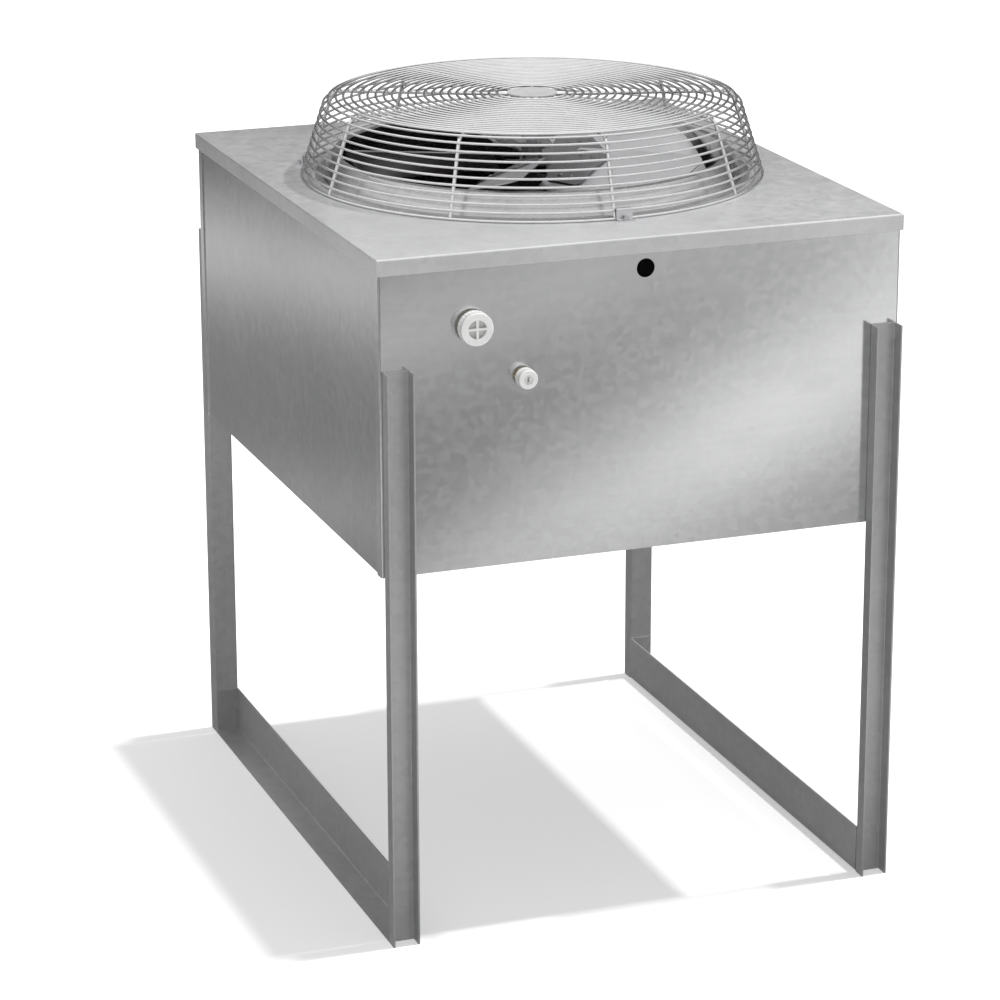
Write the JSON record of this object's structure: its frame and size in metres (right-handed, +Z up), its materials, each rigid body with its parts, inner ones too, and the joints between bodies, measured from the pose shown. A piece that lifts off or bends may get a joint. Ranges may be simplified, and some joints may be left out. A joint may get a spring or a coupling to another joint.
{
  "type": "remote air-cooled condenser",
  "caption": "Remote air-cooled condenser: a galvanised sheet box on channel legs with floor rails, a flat coil below and an upward fan under a domed wire guard.",
  "frame": {"origin": "on the floor, under the fan's axis and in the middle of the legs' reach", "axes": "+X to the right along the front with the line fittings, +Y to the rear, +Z up along the fan's axis"},
  "size_m": [0.838, 1, 1.1922],
  "materials": {
    "galvanised_sheet": "galvanised, faint spangle",
    "guard_wire": "zinc-plated wire",
    "coil_fins": "thin mill fins",
    "brass_fitting": "turned",
    "cap_plastic": "moulded",
    "copper_tube": "drawn",
    "motor_paint": "semi-gloss",
    "shaft_steel": "ground",
    "fan_aluminium": "rolled sheet"
  },
  "bodies": {
    "housing": {"top_panel": "galvanised_sheet", "front_panel": "galvanised_sheet", "rear_panel": "galvanised_sheet", "left_side_panel": "galvanised_sheet", "right_side_panel": "galvanised_sheet", "fan_collar": "galvanised_sheet", "leg_front_left": "galvanised_sheet", "leg_rear_left": "galvanised_sheet", "leg_front_right": "galvanised_sheet", "leg_rear_right": "galvanised_sheet", "floor_rail_left": "galvanised_sheet", "floor_rail_right": "galvanised_sheet", "coil_fin_block": "coil_fins", "coil_end_plate_left": "galvanised_sheet", "coil_end_plate_right": "galvanised_sheet", "gas_line_fitting": "brass_fitting", "gas_line_cap": "cap_plastic", "gas_line_tube": "copper_tube", "liquid_line_fitting": "brass_fitting", "liquid_line_cap": "cap_plastic", "liquid_line_tube": "copper_tube", "fan_motor": "motor_paint", "motor_bracket": "galvanised_sheet", "guard_side": "guard_wire", "guard_top": "guard_wire", "guard_centre_disc": "galvanised_sheet", "guard_clip_1": "galvanised_sheet", "guard_clip_2": "galvanised_sheet", "guard_clip_3": "galvanised_sheet"},
    "fan": {"fan_shaft": "shaft_steel", "fan_hub": "galvanised_sheet", "fan_blade_1": "fan_aluminium", "fan_blade_2": "fan_aluminium", "fan_blade_3": "fan_aluminium", "fan_blade_4": "fan_aluminium", "fan_blade_5": "fan_aluminium"}
  },
  "joints": [
    {"name": "fan_spin", "type": "hinge", "parent": "housing", "child": "fan", "pos_m": [0, 0, 1.082], "axis": [0, 0, 1], "continuous": true}
  ]
}
